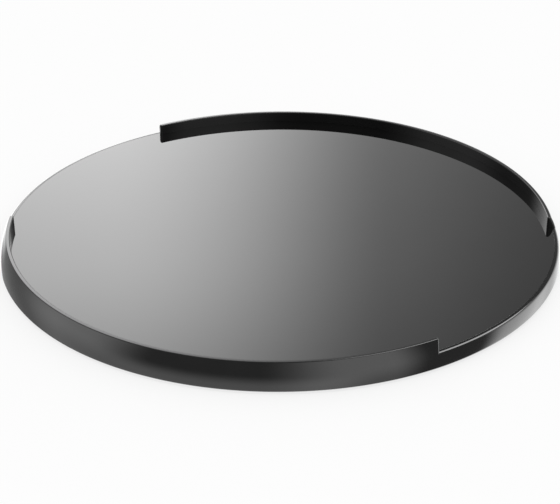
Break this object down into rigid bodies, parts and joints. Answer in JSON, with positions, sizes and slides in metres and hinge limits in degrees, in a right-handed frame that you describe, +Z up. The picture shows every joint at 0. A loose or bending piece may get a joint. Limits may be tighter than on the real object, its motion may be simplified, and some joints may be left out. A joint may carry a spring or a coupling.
{
  "type": "round serving tray",
  "caption": "Round gloss black serving tray: a flush glass plate in a flared rim whose two raised guards leave two open stretches.",
  "frame": {"origin": "centre of the tray on the surface it stands on, at the faces of the feet", "axes": "+Z up, square to the serving surface; +X and -X through the middles of the two open stretches of rim; +Y and -Y through the middles of the two guards"},
  "size_m": [0.35, 0.35, 0.0173],
  "materials": {
    "rim_gloss": "polished black moulding",
    "plate_glass": "polished opaque black glass",
    "foam": "closed-cell foam, matt",
    "pan_plastic": "fine spark texture",
    "foot_rubber": "soft matt rubber"
  },
  "bodies": {
    "root": {"rim_frame": "rim_gloss", "top_plate": "plate_glass", "cushion_ring_1": "foam", "cushion_ring_2": "foam", "cushion_ring_3": "foam", "base_pan": "pan_plastic", "foot_1": "foot_rubber", "foot_2": "foot_rubber", "foot_3": "foot_rubber", "foot_4": "foot_rubber", "foot_5": "foot_rubber", "foot_6": "foot_rubber"}
  },
  "joints": []
}
